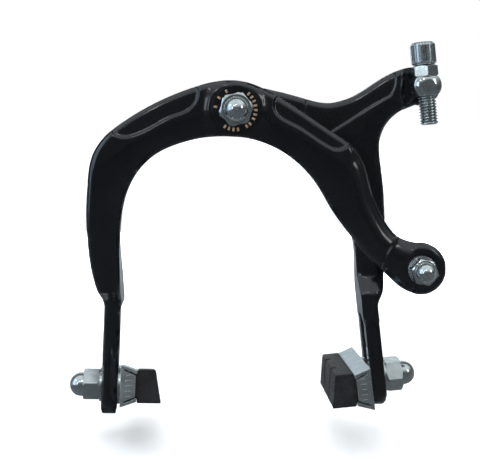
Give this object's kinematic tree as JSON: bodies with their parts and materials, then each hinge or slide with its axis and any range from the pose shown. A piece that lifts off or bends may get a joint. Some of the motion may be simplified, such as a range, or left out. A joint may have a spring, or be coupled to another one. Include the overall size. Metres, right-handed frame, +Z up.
{
  "type": "rim brake caliper",
  "caption": "Long-reach side-pull rim brake caliper: two black forged arms on one pivot bolt, slotted legs with rubber shoes, cable anchor and barrel adjuster.",
  "frame": {"origin": "on the pivot bolt's axis in the plane where the seat washer meets the fork crown", "axes": "+Z up (towards the handlebar), -Y forwards (the side the nuts face), +X to the viewer's right from the front"},
  "size_m": [0.1292, 0.0818, 0.1309],
  "materials": {
    "arm_paint": "thick gloss black paint over forged aluminium",
    "black_disc": "semi-gloss black steel washer, the front one with tan ticks around it",
    "holder_black": "gloss black steel block",
    "zinc_plate": "bright zinc plating, slightly blue",
    "spring_steel": "bright drawn spring wire",
    "pad_rubber": "matte dark grey moulded rubber"
  },
  "bodies": {
    "base": {"pivot_bolt": "zinc_plate", "spring_holder": "holder_black", "return_spring": "spring_steel", "front_disc_washer": "black_disc", "pivot_locknut": "zinc_plate", "pivot_dome_nut": "zinc_plate", "arm_washer": "black_disc", "rear_arm_washer": "black_disc", "seat_washer": "zinc_plate", "radius_washer": "zinc_plate", "mounting_washer": "zinc_plate", "mounting_nut": "zinc_plate"},
    "front_arm": {"front_arm": "arm_paint"},
    "rear_arm": {"rear_arm": "arm_paint"},
    "cable_stop": {"cable_stop_eye": "zinc_plate", "stop_washer": "zinc_plate", "stop_clip": "zinc_plate", "barrel_locknut": "zinc_plate"},
    "barrel": {"barrel_adjuster": "zinc_plate"},
    "anchor": {"anchor_bolt": "zinc_plate", "anchor_washer": "zinc_plate", "anchor_dome_nut": "zinc_plate"},
    "left_clamp": {"left_inner_washer": "zinc_plate", "left_outer_washer": "zinc_plate", "left_shoe_nut": "zinc_plate"},
    "left_shoe": {"left_shoe_holder": "zinc_plate", "left_pad": "pad_rubber", "left_stud": "zinc_plate"},
    "right_clamp": {"right_inner_washer": "zinc_plate", "right_outer_washer": "zinc_plate", "right_shoe_nut": "zinc_plate"},
    "right_shoe": {"right_shoe_holder": "zinc_plate", "right_pad": "pad_rubber", "right_stud": "zinc_plate"}
  },
  "joints": [
    {"name": "front_arm_pivot", "type": "hinge", "parent": "base", "child": "front_arm", "pos_m": [0, -0.0246, 0], "axis": [0, -1, 0], "range_deg": [0, 12], "stiffness_Nm_per_rad": 1.5, "deforming": ["return_spring"]},
    {"name": "rear_arm_pivot", "type": "hinge", "parent": "base", "child": "rear_arm", "pos_m": [0, -0.0156, 0], "axis": [0, 1, 0], "range_deg": [0, 12], "stiffness_Nm_per_rad": 1.5},
    {"name": "cable_stop_swivel", "type": "hinge", "parent": "rear_arm", "child": "cable_stop", "pos_m": [0.0657, -0.0191, 0.0082], "axis": [0, 1, 0], "range_deg": [-12, 20]},
    {"name": "barrel_travel", "type": "slide", "parent": "cable_stop", "child": "barrel", "axis": [-0.0872, 0, 0.9962], "range_m": [0, 0.008]},
    {"name": "anchor_swivel", "type": "hinge", "parent": "front_arm", "child": "anchor", "pos_m": [0.0624, -0.0191, -0.0537], "axis": [0, 1, 0], "range_deg": [-20, 20]},
    {"name": "left_shoe_height", "type": "slide", "parent": "front_arm", "child": "left_clamp", "axis": [0.0366, 0.0026, 0.9993], "range_m": [-0.002, 0.0185]},
    {"name": "left_shoe_tilt", "type": "hinge", "parent": "left_clamp", "child": "left_shoe", "pos_m": [-0.0432, -0.0156, -0.0955], "axis": [0.9969, 0.0697, -0.0366], "range_deg": [-15, 15]},
    {"name": "right_shoe_height", "type": "slide", "parent": "rear_arm", "child": "right_clamp", "axis": [-0.1028, 0.0009, 0.9947], "range_m": [-0.002, 0.018]},
    {"name": "right_shoe_tilt", "type": "hinge", "parent": "right_clamp", "child": "right_shoe", "pos_m": [0.04865, -0.0156, -0.0923], "axis": [0.9947, -0.0087, 0.1028], "range_deg": [-15, 15]}
  ],
  "couplings": [
    {"joint": "rear_arm_pivot", "follows": "front_arm_pivot", "ratio": 1}
  ]
}
